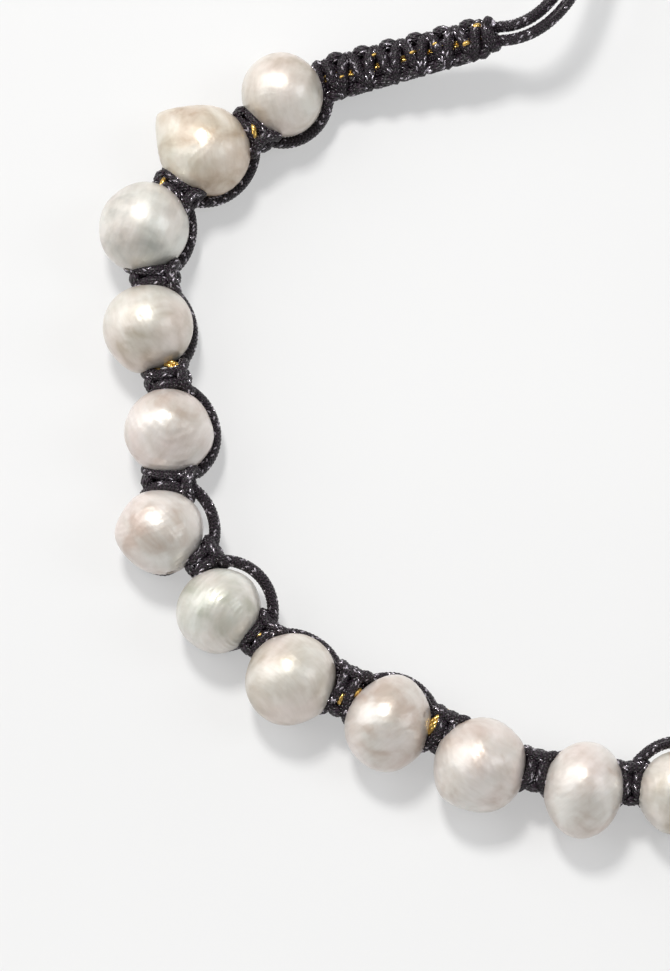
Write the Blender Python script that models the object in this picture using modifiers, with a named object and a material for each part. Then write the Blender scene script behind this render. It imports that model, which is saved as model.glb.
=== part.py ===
"""Pearl bracelet: 24 baroque pearls knotted between two dark cords, with macrame bands and a closure."""

import math
from collections import namedtuple

import bmesh
import bpy
from mathutils import Matrix, Vector

MM = 0.001

# Pearls
PEARL_WIDTH = 6.0 * MM
PEARL_SPACE = 1.0 * MM
DIMPLE_DEPTH = 0.25 * MM
DIMPLE_SPREAD = 20.0
BORE_WIDTH = 1.1 * MM

# Cords and knots
CORD_WIDTH = 0.82 * MM
THREAD_WIDTH = 0.5 * MM
KNOT_WIDTH = 3.4 * MM
KNOT_LEAN = 0.15
ROOT_SHARE = 0.75
ROOT_REACH = 0.8 * MM
CLEARANCE = 0.25 * MM
SOCKET_DEPTH = 1.5 * MM

# Macrame bands
BAND_KNOTS = 6
BAND_KNOT_PITCH = 1.9 * MM
BAND_WIDTH = 3.2 * MM
BAND_WAIST = 2.4 * MM
BAND_THICKNESS = 2.0 * MM
BAND_WRAP_LENGTH = 0.9 * MM
BAND_WRAP_WIDTH = 2.8 * MM
BAND_HEADING = 12.3
BAND_RISE = 9.5
BAND_GAP = 0.7 * MM
BAND_DROP = 1.0 * MM

# Tail cords and closure
TAIL_SPACING = 1.16 * MM
TAIL_RISE = 32.0
TAIL_START_REACH = 8.3 * MM
TAIL_END_REACH = 3.5 * MM
CLOSURE_LENGTH = 9.0 * MM
CLOSURE_WIDTH = 4.0 * MM
CLOSURE_HEIGHT = 3.2 * MM
CLOSURE_ROUNDING = 1.1 * MM
CLOSURE_BEYOND_BAND = 16.6 * MM

# Mesh fineness
PEARL_SIDES = 12
PEARL_RINGS = 7
KNOT_SIDES = 8
KNOT_RIM_SIDES = 6
BORE_SIDES = 8
ARC_POINTS = 5
ARC_LONGEST = 68
ARC_FREE_END = 58
BAND_SIDES = 8
BAND_RINGS_PER_KNOT = 4
TAIL_POINTS = 10
CORD_ROUNDING = 1
ROUNDING_SEGMENTS = 3
WELD_DISTANCE = 0.001 * MM

# How finely the free room between two pearls is searched
SEARCH_STEP = 0.02 * KNOT_WIDTH
SEARCH_HALVINGS = 24
LEVEL_ROW = 0.1

# One row for each pearl on one side of the loop, from the middle of the row of pearls to the macrame band.
# length, width and height are shares of PEARL_WIDTH: along the string, across it and upwards.
# gap is the share of PEARL_SPACE left before this pearl, on the side of the middle.
# heading is the direction of the step from this pearl to the next, in degrees from +X on the left side.
# inner_tilt and outer_tilt say how high the two side cords pass the pearl, in degrees above its centre.
PearlRow = namedtuple("PearlRow", "length width height gap heading inner_tilt outer_tilt")
PEARL_ROWS = (
    PearlRow(0.94, 0.96, 0.96, 1.30, 177.6, 8, -40),
    PearlRow(0.91, 1.08, 1.00, 0.98, 167.1, -38, -40),
    PearlRow(1.01, 1.04, 0.98, 1.42, 155.3, -38, -40),
    PearlRow(0.97, 1.05, 0.97, 0.75, 155.1, -20, -40),
    PearlRow(0.99, 1.03, 0.98, 1.39, 135.8, -22, -40),
    PearlRow(0.94, 0.99, 0.95, 1.04, 125.9, 0, -40),
    PearlRow(0.96, 0.96, 0.94, 1.03, 86.0, 0, -40),
    PearlRow(1.01, 1.00, 0.97, 1.02, 101.0, -20, -40),
    PearlRow(0.99, 1.04, 0.98, 1.48, 92.5, -30, -40),
    PearlRow(1.02, 1.04, 0.99, 0.96, 51.7, -24, -40),
    PearlRow(1.00, 0.94, 0.93, 0.82, 38.0, -10, -40),
    PearlRow(0.94, 0.99, 0.96, 0.75, 0.0, -5, -40),
)

# The nubs and shoulders of the irregular pearls. azimuth is in degrees from +X and elevation above the floor,
# height is a share of PEARL_WIDTH, and spread is the half angle of the swelling in degrees.
BumpRow = namedtuple("BumpRow", "pearl azimuth elevation height spread")
BUMP_ROWS = (
    BumpRow(2, 143, 5, 0.20, 24),
    BumpRow(4, 255, -5, 0.04, 24),
    BumpRow(5, 352, 10, 0.04, 22),
    BumpRow(6, 184, 5, 0.05, 24),
    BumpRow(9, 73, 5, 0.05, 24),
    BumpRow(9, 276, 0, 0.04, 22),
    BumpRow(10, 215, 10, 0.03, 22),
    BumpRow(11, 258, 0, 0.06, 24),
    BumpRow(12, 330, 10, 0.04, 22),
    BumpRow(15, 40, 10, 0.05, 24),
    BumpRow(18, 320, 5, 0.06, 22),
    BumpRow(21, 10, 10, 0.05, 24),
)

UP = Vector((0, 0, 1))


def clear_scene():
    for obj in list(bpy.data.objects):
        bpy.data.objects.remove(obj, do_unlink=True)


def new_collection(name):
    collection = bpy.data.collections.new(name)
    bpy.context.scene.collection.children.link(collection)
    return collection


def material(name, colour, roughness, metallic):
    made = bpy.data.materials.new(name)
    made.use_nodes = True
    shader = made.node_tree.nodes["Principled BSDF"]
    shader.inputs["Base Color"].default_value = (*colour, 1)
    shader.inputs["Roughness"].default_value = roughness
    shader.inputs["Metallic"].default_value = metallic
    return made


def add_object(name, mesh, finish, collection):
    obj = bpy.data.objects.new(name, mesh)
    collection.objects.link(obj)
    mesh.materials.append(finish)
    if collection == cutters:
        obj.hide_render = True
        obj.display_type = "WIRE"
    return obj


def mesh_of(bm, name):
    """The finished mesh, with its faces turned outwards."""
    if bm.calc_volume(signed=True) < 0:
        bmesh.ops.reverse_faces(bm, faces=bm.faces)
    mesh = bpy.data.meshes.new(name)
    bm.to_mesh(mesh)
    bm.free()
    mesh.shade_smooth()
    return mesh


def join(target, other, operation, solver="EXACT"):
    modifier = target.modifiers.new(operation.lower(), "BOOLEAN")
    modifier.operation = operation
    modifier.solver = solver
    modifier.object = other


def direction(heading, rise=0.0):
    """The unit vector at this heading from +X and this rise above the floor, in degrees."""
    flat = math.cos(math.radians(rise))
    angle = math.radians(heading)
    return Vector((flat * math.cos(angle), flat * math.sin(angle), math.sin(math.radians(rise))))


def mirrored(vector, side):
    """The vector itself on the left side of the loop, side -1, and its mirror image on the right, side 1."""
    return Vector((-side * vector.x, vector.y, vector.z))


class Pearl:
    """A pearl's place on the string and its surface."""

    def __init__(self, number, row, place):
        self.number = number
        self.row = row
        self.centre = place
        self.along = None
        self.bumps = [bump for bump in BUMP_ROWS if bump.pearl == number]

    def settle(self, along):
        """Points the drilled axis along the string, and rests the pearl on the floor."""
        self.along = along
        self.inward = inward_of(self)
        self.centre.z = -min(way.z * self.reach(way) for way in self.mesh_ways())

    def reach(self, way):
        """The distance from the centre to the surface in this direction."""
        half = 0.5 * PEARL_WIDTH
        on_axes = (
            way.dot(self.along) / (half * self.row.length),
            way.dot(self.inward) / (half * self.row.width),
            way.z / (half * self.row.height),
        )
        distance = 1 / math.sqrt(sum(share * share for share in on_axes))
        for bump in self.bumps:
            away = math.degrees(way.angle(direction(bump.azimuth, bump.elevation)))
            distance += bump.height * PEARL_WIDTH * math.exp(-((away / bump.spread) ** 2))
        from_axis = math.degrees(min(way.angle(self.along), way.angle(-self.along)))
        return distance - DIMPLE_DEPTH * math.exp(-((from_axis / DIMPLE_SPREAD) ** 2))

    def turned(self, unit):
        return self.inward * unit.x + UP * unit.y + self.along * unit.z

    def mesh_ways(self):
        ball = unit_ball(PEARL_SIDES, PEARL_RINGS)
        ways = [self.turned(vertex.co).normalized() for vertex in ball.verts]
        ball.free()
        return ways

    def surface(self, way):
        return self.centre + way * self.reach(way)

    def clears(self, point, margin):
        offset = point - self.centre
        return offset.length > self.reach(offset.normalized()) + margin


def inward_of(pearl):
    """The level direction at right angles to the string, towards the inside of the loop."""
    return UP.cross(pearl.along).normalized()


def unit_ball(sides, rings):
    ball = bmesh.new()
    bmesh.ops.create_uvsphere(ball, u_segments=sides, v_segments=rings, radius=1)
    return ball


def half_string():
    """The pearls' places on the left side, with the middle of the front row at the origin."""
    places = []
    first = PEARL_ROWS[0]
    here = Vector((-0.5 * (first.gap * PEARL_SPACE + first.length * PEARL_WIDTH), 0, 0))
    for row, following in zip(PEARL_ROWS, PEARL_ROWS[1:] + (None,)):
        places.append(here.copy())
        if following:
            halves = 0.5 * PEARL_WIDTH * (row.length + following.length)
            here += direction(row.heading) * (halves + following.gap * PEARL_SPACE)
    return places


def make_string():
    """All the pearls in their order, from the left band round the front to the right band."""
    left = list(zip(PEARL_ROWS, half_string()))
    right = [(row, mirrored(place, 1)) for row, place in left]
    rows = left[::-1] + right
    pearls = [Pearl(number, row, place) for number, (row, place) in enumerate(rows, 1)]
    steps = [(b.centre - a.centre).normalized() for a, b in zip(pearls, pearls[1:])]
    from_band = -direction(BAND_HEADING)
    steps = [from_band] + steps + [mirrored(-from_band, 1)]
    for pearl, before, after in zip(pearls, steps, steps[1:]):
        pearl.settle((before + after).normalized())
    return pearls


def cylinder(name, start, end, width, sides, finish):
    """A straight cutter between two points."""
    bm = bmesh.new()
    length = (end - start).length
    bmesh.ops.create_cone(
        bm, cap_ends=True, segments=sides, radius1=0.5 * width, radius2=0.5 * width, depth=length
    )
    turn = (end - start).to_track_quat("Z", "Y").to_matrix().to_4x4()
    obj = add_object(name, mesh_of(bm, name), finish, cutters)
    obj.matrix_world = Matrix.Translation(0.5 * (start + end)) @ turn
    return obj


def make_pearl(pearl):
    name = f"pearl_{pearl.number:02d}"
    bm = unit_ball(PEARL_SIDES, PEARL_RINGS)
    for vertex in bm.verts:
        way = pearl.turned(vertex.co).normalized()
        vertex.co = way * pearl.reach(way)
    obj = add_object(name, mesh_of(bm, name), nacre, parts)
    obj.location = pearl.centre
    reach = pearl.along * PEARL_WIDTH
    start, end = pearl.centre - reach, pearl.centre + reach
    cutter = cylinder(name + "_bore", start, end, BORE_WIDTH, BORE_SIDES, nacre)
    join(obj, cutter, "DIFFERENCE")


def tube(name, routes, width, finish, collection):
    """Round cords with closed ends through the points of each route."""
    curve = bpy.data.curves.new(name, "CURVE")
    curve.dimensions = "3D"
    curve.bevel_depth = 0.5 * width
    curve.bevel_resolution = CORD_ROUNDING
    curve.use_fill_caps = True
    for route in routes:
        spline = curve.splines.new("POLY")
        spline.points.add(len(route) - 1)
        for point, place in zip(spline.points, route):
            point.co = (*place, 1)
    return add_object(name, curve, finish, collection)


def as_mesh(curve_object, finish, collection):
    """The curve's tubes as one mesh object with their caps welded on."""
    name = curve_object.name
    graph = bpy.context.evaluated_depsgraph_get()
    mesh = bpy.data.meshes.new_from_object(curve_object.evaluated_get(graph))
    matrix = curve_object.matrix_world.copy()
    bpy.data.objects.remove(curve_object, do_unlink=True)
    bm = bmesh.new()
    bm.from_mesh(mesh)
    bmesh.ops.remove_doubles(bm, verts=bm.verts, dist=WELD_DISTANCE)
    bmesh.ops.recalc_face_normals(bm, faces=bm.faces)
    mesh.clear_geometry()
    bm.to_mesh(mesh)
    bm.free()
    mesh.materials.clear()
    obj = add_object(name, mesh, finish, collection)
    obj.name = name
    obj.matrix_world = matrix
    return obj


def hole(pearl, sign):
    """The mouth of the pearl's bore, towards the next pearl with sign 1 and the one before with sign -1."""
    return pearl.surface(sign * pearl.along)


def side_arc(pearl, before, after, tilt, sign):
    """A side cord round one pearl, on the inside of the loop with sign 1 and on the outside with sign -1."""
    across = sign * pearl.inward * math.cos(math.radians(tilt)) + UP * math.sin(math.radians(tilt))
    lift = 0.5 * CORD_WIDTH + CLEARANCE

    def at(angle):
        way = across * math.cos(math.radians(angle)) + pearl.along * math.sin(math.radians(angle))
        return pearl.surface(way) + way * lift

    angles = []
    roots = []
    for side, neighbour in ((-1, before), (1, after)):
        notch = Notch(*(pearl, neighbour)[::side]) if neighbour else None
        angle = 0
        while angle < (ARC_LONGEST if neighbour else ARC_FREE_END):
            point = at(side * angle)
            past_middle = notch and (point - notch.centre).dot(side * notch.axis) > 0
            if notch and (past_middle or not neighbour.clears(point, lift)):
                break
            angle += 1
        if notch:
            root = knot_root(notch, at(side * angle))
            roots.append(root)
            while (at(side * angle) - root).length < ROOT_REACH:
                angle -= 1
        angles.append(side * angle)
    low, high = angles
    route = [at(low + (high - low) * step / (ARC_POINTS - 1)) for step in range(ARC_POINTS)]
    if before:
        route.insert(0, roots[0])
    if after:
        route.append(roots[-1])
    return route


class Notch:
    """The room between two pearls, with the axis from pearl to pearl and the thread's way through it."""

    def __init__(self, before, after):
        self.pearls = before, after
        self.axis = (after.centre - before.centre).normalized()
        self.centre = 0.5 * (before.surface(self.axis) + after.surface(-self.axis))
        self.inward = UP.cross(self.axis).normalized()
        self.upward = self.axis.cross(self.inward)
        start, end = hole(before, 1), hole(after, -1)
        self.slope = (end - start) / (end - start).dot(self.axis)
        self.thread = start + self.slope * (self.centre - start).dot(self.axis)

    def reach(self, way):
        """How far the knot reaches this way: it leans to the inside of the loop."""
        return 0.5 * KNOT_WIDTH * (1 + KNOT_LEAN * way.dot(self.inward))

    def clears(self, point, margin):
        return all(pearl.clears(point, margin) for pearl in self.pearls)


def knot_root(notch, point):
    """Where a side cord that passes this point enters the knot, as deep as there is room for it."""
    away = point - notch.centre
    away -= notch.axis * away.dot(notch.axis)
    away.normalize()
    radius = ROOT_SHARE * notch.reach(away)
    pearl_margin = 0.5 * (CORD_WIDTH + CLEARANCE)
    thread_margin = 0.5 * (CORD_WIDTH + THREAD_WIDTH + CLEARANCE)
    while radius < notch.reach(away):
        root = notch.centre + away * radius
        if notch.clears(root, pearl_margin) and (root - notch.thread).length > thread_margin:
            break
        radius += SEARCH_STEP
    return notch.centre + away * radius


def free_depth(start, way, pearl):
    """How far a point may go this way and still stay clear of the pearl, up to a cord's width."""
    low, high = 0.0, CORD_WIDTH
    if pearl.clears(start + way * high, CLEARANCE):
        return high
    for _ in range(SEARCH_HALVINGS):
        middle = 0.5 * (low + high)
        if pearl.clears(start + way * middle, CLEARANCE):
            low = middle
        else:
            high = middle
    return low


def free_radius(notch, way):
    """The largest radius that the knot can have this way between its two pearls."""
    radius = notch.reach(way)
    while not notch.clears(notch.centre + way * radius, CLEARANCE):
        radius -= SEARCH_STEP
    return radius


def knot_ring(before, after):
    """The knot between two pearls: a ring round the thread that fills the notch between them."""
    notch = Notch(before, after)
    bpy.ops.mesh.primitive_torus_add(
        major_segments=KNOT_SIDES,
        minor_segments=KNOT_RIM_SIDES,
        major_radius=1.0,
        minor_radius=0.5,
    )
    ring = bpy.context.object
    bm = bmesh.new()
    bm.from_mesh(ring.data)
    bpy.data.objects.remove(ring, do_unlink=True)
    for vertex in bm.verts:
        turn = math.atan2(vertex.co.y, vertex.co.x)
        share = math.hypot(vertex.co.x, vertex.co.y) - 0.5
        way = notch.inward * math.cos(turn) + notch.upward * math.sin(turn)
        inner = notch.thread + way * (0.5 * BORE_WIDTH)
        outer = notch.centre + way * free_radius(notch, way)
        place = inner.lerp(outer, share)
        row = (vertex.co.z > LEVEL_ROW) - (vertex.co.z < -LEVEL_ROW)
        if row:
            along = notch.axis.lerp(notch.slope, 1 - share)
            neighbour = after if row > 0 else before
            place += row * along * free_depth(place, row * along, neighbour)
        vertex.co = place
    return mesh_of(bm, "knot_ring")


def joined_rings(pearls):
    """All the knots as one helper object."""
    bm = bmesh.new()
    for before, after in zip(pearls, pearls[1:]):
        ring = knot_ring(before, after)
        bm.from_mesh(ring)
        bpy.data.meshes.remove(ring)
    return add_object("knot_rings", mesh_of(bm, "knot_rings"), dark_cord, cutters)


def make_side_cords(pearls):
    """The two side cords and the knots, joined into one body."""
    arcs = ([], [])
    for index, pearl in enumerate(pearls):
        before = pearls[index - 1] if index else None
        after = pearls[index + 1] if index + 1 < len(pearls) else None
        for tilt, sign in ((pearl.row.inner_tilt, 1), (pearl.row.outer_tilt, -1)):
            arcs[index % 2].append(side_arc(pearl, before, after, tilt, sign))
    cords = as_mesh(tube("side_cords", arcs[0], CORD_WIDTH, dark_cord, parts), dark_cord, parts)
    others = as_mesh(tube("other_arcs", arcs[1], CORD_WIDTH, dark_cord, cutters), dark_cord, cutters)
    join(cords, joined_rings(pearls), "UNION", "MANIFOLD")
    join(cords, others, "UNION", "MANIFOLD")


def band_frame(pearl, side):
    """The band's starting point beside its pearl, and its axis, level and upright directions."""
    axis = mirrored(direction(BAND_HEADING, BAND_RISE), side)
    level = UP.cross(axis).normalized()
    start = hole(pearl, side) + axis * BAND_GAP - UP * BAND_DROP
    return start, axis, level, axis.cross(level)


def band_length():
    return BAND_KNOTS * BAND_KNOT_PITCH + BAND_WRAP_LENGTH


def band_half_width(place):
    """Half the band's width at this distance from its start: wide at each knot and narrow between knots."""
    if place > BAND_KNOTS * BAND_KNOT_PITCH:
        return 0.5 * BAND_WRAP_WIDTH
    swelling = math.sin(math.pi * (place / BAND_KNOT_PITCH % 1))
    return 0.5 * (BAND_WAIST + (BAND_WIDTH - BAND_WAIST) * swelling)


def make_band(name, pearl, side):
    """The flat sinnet of square knots between the row of pearls and the tail cords."""
    start, axis, level, upright = band_frame(pearl, side)
    rings = BAND_RINGS_PER_KNOT * (BAND_KNOTS + 1)
    bm = unit_ball(BAND_SIDES, rings)
    for vertex in bm.verts:
        share = math.acos(max(-1, min(1, -vertex.co.z))) / math.pi
        place = share * band_length()
        round_axis = math.atan2(vertex.co.y, vertex.co.x)
        at_end = share < 0.5 / rings or share > 1 - 0.5 / rings
        half_width = 0 if at_end else band_half_width(place)
        half_thickness = half_width * BAND_THICKNESS / BAND_WIDTH
        vertex.co = (
            start
            + axis * place
            + level * (half_width * math.cos(round_axis))
            + upright * (half_thickness * math.sin(round_axis))
        )
    band = add_object(name, mesh_of(bm, name), dark_cord, parts)
    reach = axis * SOCKET_DEPTH
    socket = cylinder(name + "_socket", start - reach, start + reach, BORE_WIDTH, BORE_SIDES, dark_cord)
    join(band, socket, "DIFFERENCE")


def make_thread(pearls):
    """The thread through the pearls and knots, into a socket in each band."""
    route = []
    for pearl in pearls:
        route += [hole(pearl, -1), hole(pearl, 1)]
    for pearl, side in ((pearls[0], -1), (pearls[-1], 1)):
        start, axis, _, _ = band_frame(pearl, side)
        into_band = [start, start + axis * (SOCKET_DEPTH - CLEARANCE)]
        route = into_band[::-1] + route if side < 0 else route + into_band
    tube("core_thread", [route], THREAD_WIDTH, gold, parts)


def bezier(points, share):
    rest = 1 - share
    weights = (rest**3, 3 * rest**2 * share, 3 * rest * share**2, share**3)
    return sum((weight * point for weight, point in zip(weights, points)), Vector())


def make_tails(pearls, closure):
    """The pair of cords from each band's end to the closure."""
    for side, pearl in ((-1, pearls[0]), (1, pearls[-1])):
        start, axis, _, _ = band_frame(pearl, side)
        leave = start + axis * (band_length() + CLEARANCE)
        mouth = closure + Vector((side * 0.5 * CLOSURE_LENGTH, 0, 0))
        climb = mirrored(direction(BAND_HEADING, TAIL_RISE), side)
        handles = (
            leave,
            leave + climb * TAIL_START_REACH,
            mouth + Vector((side * TAIL_END_REACH, 0, 0)),
            mouth,
        )
        middle = [bezier(handles, step / (TAIL_POINTS - 1)) for step in range(TAIL_POINTS)]
        middle.append(mouth - Vector((side * SOCKET_DEPTH, 0, 0)))
        for where, sign in (("inner", 1), ("outer", -1)):
            route = []
            for index, point in enumerate(middle):
                ahead = middle[min(index + 1, len(middle) - 1)] - middle[max(index - 1, 0)]
                inward = ahead.cross(UP).normalized() * (-side)
                route.append(point + inward * (sign * 0.5 * TAIL_SPACING))
            name = f"tail_{'left' if side < 0 else 'right'}_{where}"
            tube(name, [route], CORD_WIDTH, dark_cord, parts)


def make_closure(centre):
    """The sleeve that the tail cords go into, flat where it rests."""
    bm = bmesh.new()
    size = (CLOSURE_LENGTH, CLOSURE_WIDTH, CLOSURE_HEIGHT)
    bmesh.ops.create_cube(bm, size=1, matrix=Matrix.Diagonal((*size, 1)))
    sleeve = add_object("closure_sleeve", mesh_of(bm, "closure_sleeve"), dark_cord, parts)
    sleeve.location = centre
    rounding = sleeve.modifiers.new("rounding", "BEVEL")
    rounding.width = CLOSURE_ROUNDING
    rounding.segments = ROUNDING_SEGMENTS
    slot = bmesh.new()
    slot_height = CORD_WIDTH + 2 * CLEARANCE
    slot_size = (2 * CLOSURE_LENGTH, TAIL_SPACING + slot_height, slot_height)
    bmesh.ops.create_cube(slot, size=1, matrix=Matrix.Diagonal((*slot_size, 1)))
    cutter = add_object("closure_slot", mesh_of(slot, "closure_slot"), dark_cord, cutters)
    cutter.location = centre
    join(sleeve, cutter, "DIFFERENCE")


def centre_on_floor():
    """Moves the whole bracelet so that the middle of its outline is at the origin."""
    bpy.context.view_layer.update()
    graph = bpy.context.evaluated_depsgraph_get()
    points = []
    for obj in parts.objects:
        shape = obj.evaluated_get(graph)
        points += [shape.matrix_world @ vertex.co for vertex in shape.to_mesh().vertices]
        shape.to_mesh_clear()
    middle = [0.5 * (min(p[i] for p in points) + max(p[i] for p in points)) for i in (0, 1)]
    shift = Matrix.Translation((-middle[0], -middle[1], 0))
    for obj in [*parts.objects, *cutters.objects]:
        obj.matrix_world = shift @ obj.matrix_world


clear_scene()
parts = new_collection("pearl_bracelet")
cutters = new_collection("cutters")
nacre = material("nacre", (0.80, 0.74, 0.66), 0.22, 0.0)
dark_cord = material("dark_cord", (0.035, 0.028, 0.036), 0.45, 0.3)
gold = material("gold_thread", (0.62, 0.38, 0.10), 0.35, 0.8)

string = make_string()
for one in string:
    make_pearl(one)
make_thread(string)
make_side_cords(string)
make_band("macrame_band_left", string[0], -1)
make_band("macrame_band_right", string[-1], 1)
left_start, left_axis, _, _ = band_frame(string[0], -1)
left_end = left_start + left_axis * band_length()
closure_centre = Vector((0, left_end.y + CLOSURE_BEYOND_BAND, 0.5 * CLOSURE_HEIGHT))
make_closure(closure_centre)
make_tails(string, closure_centre)
centre_on_floor()
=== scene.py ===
"""The looks of the knotted pearl bracelet: nacre, braided cords, square knots, gold thread, light and camera.

Lengths are in millimetres until a mesh, a light or the camera is made. x runs along the row of pearls at the
front, y from that row towards the closure, and z upwards from the surface that the bracelet lies on.
"""

import math
from collections import namedtuple

import bpy
import numpy as np
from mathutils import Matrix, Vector


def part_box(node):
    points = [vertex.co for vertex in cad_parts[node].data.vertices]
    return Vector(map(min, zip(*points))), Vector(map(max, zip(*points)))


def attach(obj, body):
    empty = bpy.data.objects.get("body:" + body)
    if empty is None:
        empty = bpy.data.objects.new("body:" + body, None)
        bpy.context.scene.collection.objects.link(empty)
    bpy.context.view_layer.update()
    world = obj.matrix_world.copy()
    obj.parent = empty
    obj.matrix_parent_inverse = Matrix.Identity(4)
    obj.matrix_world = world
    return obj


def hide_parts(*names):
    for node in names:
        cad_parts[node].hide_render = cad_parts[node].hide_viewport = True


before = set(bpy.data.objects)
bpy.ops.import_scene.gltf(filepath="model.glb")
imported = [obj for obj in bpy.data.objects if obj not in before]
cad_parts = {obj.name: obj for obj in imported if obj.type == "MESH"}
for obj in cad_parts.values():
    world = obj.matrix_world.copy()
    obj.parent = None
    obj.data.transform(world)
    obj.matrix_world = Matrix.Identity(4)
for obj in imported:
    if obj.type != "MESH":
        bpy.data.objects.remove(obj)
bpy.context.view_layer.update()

MM = 0.001
UP = np.array((0.0, 0.0, 1.0))

# Pearls
PEARL_WIDTH = 6.0
PEARL_SPACE = 1.0
BORE_WIDTH = 0.8
SOLID_SIDES = 12
SOLID_RINGS = 7
RIPPLES = 9
PITS = 5
PIT_DEPTH = 0.03
SKIN_INSET = 0.02
SHARP_NUB = 0.1

# Braided cord
CORD_WIDTH = 0.82
CORD_RADIUS = 0.5 * CORD_WIDTH - 0.02
STITCH_DEPTH = 0.03
STITCH_COLUMNS = 8
STITCH_PITCH = 0.27
CLEARANCE = 0.25

# How far the side cords press against the pearls, and how far round them they reach in degrees
INNER_PRESS = 0.02
OUTER_PRESS = 0.17
INNER_REACH = 56
OUTER_REACH = 46
ARC_POINTS = 9

# The spacing of a cord's points and its number of sides
FINE_CORD = (0.085, 16)
PLAIN_CORD = (0.15, 10)

# Macrame bands
BAND_KNOTS = 6
BAND_KNOT_PITCH = 1.9
BAND_WRAP_LENGTH = 0.9
BAND_HEADING = 12.3
BAND_RISE = 11.5
BAND_GAP = 0.45
BAND_DROP = 1.0
BAND_TAPER = (1.12, 0.92)

# Tails and closure
TAIL_SPACING = 0.98
TAIL_HEADING = -6.0
TAIL_RISE = 28.0
TAIL_START_REACH = 8.3
TAIL_END_REACH = 3.5
CLOSURE_LENGTH = 9.0
CLOSURE_WIDTH = 4.0
CLOSURE_HEIGHT = 3.2
CLOSURE_BEYOND_BAND = 16.6
CLOSURE_TURNS = 11
SOCKET_DEPTH = 1.5

# Gold thread
CORE_RADIUS = 0.22
BAND_CORE_RADIUS = 0.18

# Camera
TARGET = np.array((-26.66, -12.86, 3.0))
CAMERA_ELEVATION = 78.0
CAMERA_DISTANCE = 0.45
CAMERA_SENSOR = 24.0
FRAME_HEIGHT = 0.06603

# Light: where each soft lamp stands as seen from the pearls, its size in metres, its power in watts and its colour
LIGHT_DISTANCE = 0.7
LightRow = namedtuple("LightRow", "name towards size power colour")
LIGHT_ROWS = (
    LightRow("key", (-0.16, 0.489, 0.857), (0.13, 0.13), 3.5, (1.0, 0.99, 0.97)),
    LightRow("fill", (-0.75, 0.35, 0.55), (0.60, 0.50), 1.7, (1.0, 1.0, 1.0)),
    LightRow("side", (0.74, 0.07, 0.67), (0.28, 0.34), 0.7, (0.90, 0.95, 1.0)),
)
FLOOR_SIZE = 1.2

# The brightness of the studio from the horizon up to the zenith
SKY_LEVELS = ((0.0, 1.0), (0.25, 0.60), (0.6, 0.26), (1.0, 0.22))

# One row for each pearl on one side, from the middle of the front row to the macrame band
# length, width and height are shares of PEARL_WIDTH, and gap is a share of PEARL_SPACE, before the pearl.
# slack_a and slack_b are the room in mm under the inner side cord, towards the middle and towards the band.
PearlRow = namedtuple("PearlRow", "length width height gap heading inner_tilt outer_tilt slack_a slack_b")
PEARL_ROWS = (
    PearlRow(0.94, 0.96, 0.96, 1.30, 177.6, 8, -40, 0.20, 0.20),
    PearlRow(0.91, 1.08, 1.00, 0.86, 167.1, -38, -40, 0.00, 0.00),
    PearlRow(1.05, 1.07, 0.98, 1.30, 155.3, -38, -40, 0.00, 0.00),
    PearlRow(0.97, 1.05, 0.97, 0.75, 155.1, -20, -40, 0.00, 0.00),
    PearlRow(1.02, 1.06, 0.98, 1.30, 135.8, -22, -40, 0.00, 0.00),
    PearlRow(0.94, 0.99, 0.95, 0.95, 125.9, 0, -40, 0.45, 0.15),
    PearlRow(0.96, 0.96, 0.94, 1.03, 86.0, 0, -40, 0.40, 0.45),
    PearlRow(1.01, 1.00, 0.97, 1.02, 101.0, -20, -40, 0.00, 0.00),
    PearlRow(0.99, 1.04, 0.98, 1.48, 92.5, -30, -40, 0.00, 0.00),
    PearlRow(1.07, 1.04, 0.99, 0.81, 51.7, -24, -40, 0.00, 0.00),
    PearlRow(1.05, 1.03, 0.95, 0.55, 38.0, -28, -40, 0.00, 0.00),
    PearlRow(0.94, 0.99, 0.96, 0.60, 0.0, -22, -40, 0.00, 0.00),
)

# Nubs and shoulders of the irregular pearls, with their height as a share of PEARL_WIDTH
BumpRow = namedtuple("BumpRow", "pearl azimuth elevation height spread")
BUMP_ROWS = (
    BumpRow(2, 143, 5, 0.20, 24),
    BumpRow(4, 255, -5, 0.04, 24),
    BumpRow(5, 352, 10, 0.04, 22),
    BumpRow(6, 184, 5, 0.05, 24),
    BumpRow(9, 73, 5, 0.05, 24),
    BumpRow(9, 276, 0, 0.04, 22),
    BumpRow(10, 215, 10, 0.03, 22),
    BumpRow(11, 258, 0, 0.03, 24),
    BumpRow(12, 330, 10, 0.04, 22),
    BumpRow(15, 40, 10, 0.05, 24),
    BumpRow(18, 320, 5, 0.06, 22),
    BumpRow(21, 10, 10, 0.05, 24),
)

# The skin of each pearl, from the band to the middle of the front row
# azimuth and elevation point to the pole of the growth rings, and count is how many there are from pole to pole.
# ring is the height of the rings in mm, and wave the height of the broad ripples.
SkinRow = namedtuple("SkinRow", "azimuth elevation ring count wave tint")
SKIN_ROWS = (
    SkinRow(100, 20, 0.006, 20, 0.030, "cream"),
    SkinRow(143, 10, 0.008, 18, 0.055, "beige"),
    SkinRow(60, 30, 0.004, 16, 0.030, "grey"),
    SkinRow(200, 40, 0.004, 16, 0.035, "cream"),
    SkinRow(80, 60, 0.014, 16, 0.055, "rose"),
    SkinRow(120, 20, 0.012, 22, 0.070, "rose"),
    SkinRow(330, 35, 0.022, 22, 0.050, "green"),
    SkinRow(40, 45, 0.006, 16, 0.035, "cream"),
    SkinRow(95, 15, 0.010, 18, 0.050, "rose"),
    SkinRow(20, 20, 0.014, 18, 0.075, "rose"),
    SkinRow(85, 0, 0.008, 18, 0.045, "rose"),
    SkinRow(180, 20, 0.024, 18, 0.070, "cream"),
)

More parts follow.
